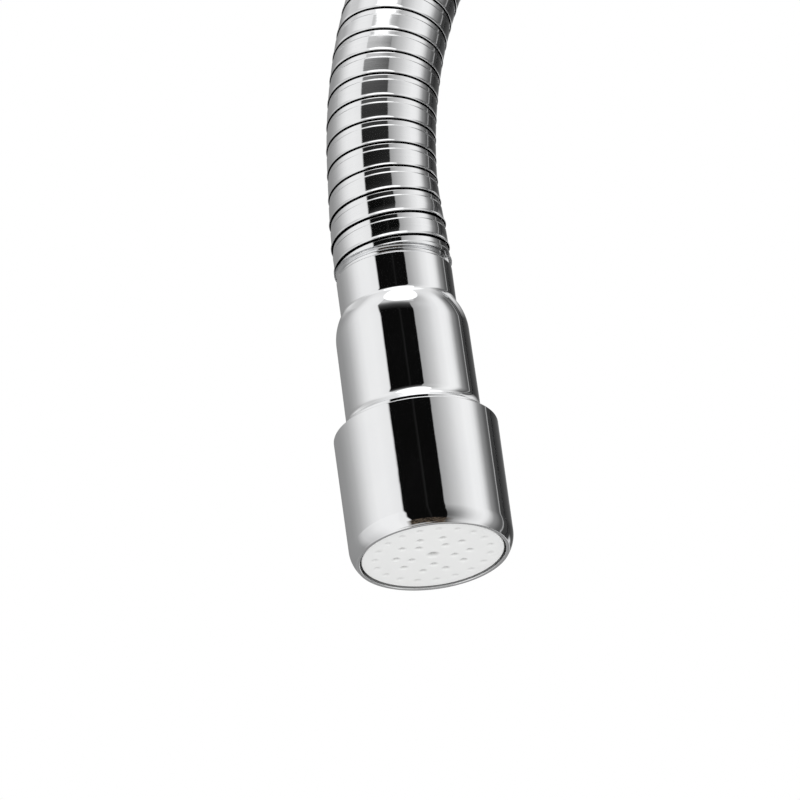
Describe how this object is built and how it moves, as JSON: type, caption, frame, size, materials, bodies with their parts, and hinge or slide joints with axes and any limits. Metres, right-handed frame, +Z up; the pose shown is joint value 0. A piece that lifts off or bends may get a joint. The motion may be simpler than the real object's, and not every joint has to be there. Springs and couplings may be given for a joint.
{
  "type": "gooseneck bath sprayer",
  "caption": "Small chromed spray head with a white spray face, on a stay-put stripwound gooseneck that arches over from a swivel pipe nut.",
  "frame": {"origin": "centre of the inlet's sealing plane, inside the connector nut", "axes": "+Z up the neck's leg, away from the inlet; the arch leans over towards -X and is flat in the XZ plane"},
  "size_m": [0.2104, 0.0254, 0.2278],
  "materials": {
    "chrome_plate": "polished chrome plate",
    "neck_steel": "polished stripwound steel",
    "brass": "turned",
    "fine_steel": "pressed stainless",
    "black_rubber": "smooth",
    "tube_rubber": "smooth",
    "nylon": "moulded",
    "white_plastic": "satin moulded"
  },
  "bodies": {
    "base": {"tailpiece": "brass", "nut_washer": "black_rubber", "inlet_strainer": "fine_steel", "thrust_washer": "nylon", "base_ferrule": "chrome_plate", "base_crimp": "fine_steel", "neck_01": "neck_steel", "tube_01": "tube_rubber"},
    "nut": {"connector_nut": "chrome_plate"},
    "link_02": {"neck_02": "neck_steel", "tube_02": "tube_rubber"},
    "link_03": {"neck_03": "neck_steel", "tube_03": "tube_rubber"},
    "link_04": {"neck_04": "neck_steel", "tube_04": "tube_rubber"},
    "link_05": {"neck_05": "neck_steel", "tube_05": "tube_rubber"},
    "link_06": {"neck_06": "neck_steel", "tube_06": "tube_rubber"},
    "link_07": {"neck_07": "neck_steel", "tube_07": "tube_rubber"},
    "link_08": {"neck_08": "neck_steel", "tube_08": "tube_rubber"},
    "link_09": {"neck_09": "neck_steel", "tube_09": "tube_rubber"},
    "link_10": {"neck_10": "neck_steel", "tube_10": "tube_rubber"},
    "link_11": {"neck_11": "neck_steel", "tube_11": "tube_rubber"},
    "link_12": {"neck_12": "neck_steel", "tube_12": "tube_rubber"},
    "link_13": {"neck_13": "neck_steel", "tube_13": "tube_rubber"},
    "link_14": {"neck_14": "neck_steel", "tube_14": "tube_rubber"},
    "link_15": {"neck_15": "neck_steel", "tube_15": "tube_rubber"},
    "link_16": {"neck_16": "neck_steel", "tube_16": "tube_rubber"},
    "link_17": {"neck_17": "neck_steel", "tube_17": "tube_rubber", "head_collar": "chrome_plate", "head_stem": "brass", "head_crimp": "fine_steel", "stem_o_rings": "black_rubber", "swivel_clip": "fine_steel"},
    "head": {"slip_washer": "nylon", "barrel": "chrome_plate", "flow_regulator": "white_plastic", "regulator_o_ring": "black_rubber", "filter_screen": "fine_steel", "diffuser": "white_plastic", "face_o_ring": "black_rubber", "spray_face": "white_plastic", "spray_cap": "chrome_plate"}
  },
  "joints": [
    {"name": "nut_spin", "type": "hinge", "parent": "base", "child": "nut", "pos_m": [0, 0, 0], "axis": [0, 0, 1], "continuous": true},
    {"name": "neck_arch_1", "type": "hinge", "parent": "base", "child": "link_02", "pos_m": [0, 0, 0.04743], "axis": [0, -1, 0], "range_deg": [-5, 5]},
    {"name": "neck_sway_1", "type": "hinge", "parent": "link_02", "child": "link_03", "pos_m": [0, 0, 0.07143], "axis": [1, 0, 0], "range_deg": [-5, 5]},
    {"name": "neck_arch_2", "type": "hinge", "parent": "link_03", "child": "link_04", "pos_m": [0, 0, 0.09542], "axis": [0, -1, 0], "range_deg": [-5, 5]},
    {"name": "neck_sway_2", "type": "hinge", "parent": "link_04", "child": "link_05", "pos_m": [-0.00009, 0, 0.11942], "axis": [0.9991, 0, 0.0424], "range_deg": [-5, 5]},
    {"name": "neck_arch_3", "type": "hinge", "parent": "link_05", "child": "link_06", "pos_m": [-0.00413, 0, 0.14301], "axis": [0, -1, 0], "range_deg": [-5, 5]},
    {"name": "neck_sway_3", "type": "hinge", "parent": "link_06", "child": "link_07", "pos_m": [-0.01401, 0, 0.16481], "axis": [0.8509, 0, 0.5253], "range_deg": [-5, 5]},
    {"name": "neck_arch_4", "type": "hinge", "parent": "link_07", "child": "link_08", "pos_m": [-0.02908, 0, 0.18342], "axis": [0, -1, 0], "range_deg": [-5, 5]},
    {"name": "neck_sway_4", "type": "hinge", "parent": "link_08", "child": "link_09", "pos_m": [-0.04835, 0, 0.19761], "axis": [0.4857, 0, 0.8741], "range_deg": [-5, 5]},
    {"name": "neck_arch_5", "type": "hinge", "parent": "link_09", "child": "link_10", "pos_m": [-0.07058, 0, 0.20647], "axis": [0, -1, 0], "range_deg": [-5, 5]},
    {"name": "neck_sway_5", "type": "hinge", "parent": "link_10", "child": "link_11", "pos_m": [-0.09433, 0, 0.20944], "axis": [-0.0035, 0, 1], "range_deg": [-5, 5]},
    {"name": "neck_arch_6", "type": "hinge", "parent": "link_11", "child": "link_12", "pos_m": [-0.11806, 0, 0.20631], "axis": [0, -1, 0], "range_deg": [-5, 5]},
    {"name": "neck_sway_6", "type": "hinge", "parent": "link_12", "child": "link_13", "pos_m": [-0.14023, 0, 0.19728], "axis": [-0.4918, 0, 0.8707], "range_deg": [-5, 5]},
    {"name": "neck_arch_7", "type": "hinge", "parent": "link_13", "child": "link_14", "pos_m": [-0.1594, 0, 0.18296], "axis": [0, -1, 0], "range_deg": [-5, 5]},
    {"name": "neck_sway_7", "type": "hinge", "parent": "link_14", "child": "link_15", "pos_m": [-0.17433, 0, 0.16425], "axis": [-0.8546, 0, 0.5193], "range_deg": [-5, 5]},
    {"name": "neck_arch_8", "type": "hinge", "parent": "link_15", "child": "link_16", "pos_m": [-0.18406, 0, 0.14238], "axis": [0, -1, 0], "range_deg": [-5, 5]},
    {"name": "neck_sway_8", "type": "hinge", "parent": "link_16", "child": "link_17", "pos_m": [-0.18794, 0, 0.11876], "axis": [-0.9994, 0, 0.0353], "range_deg": [-5, 5]},
    {"name": "head_swivel", "type": "hinge", "parent": "link_17", "child": "head", "pos_m": [-0.17811, 0, 0.04498], "axis": [0.1547, 0, -0.988], "continuous": true}
  ]
}
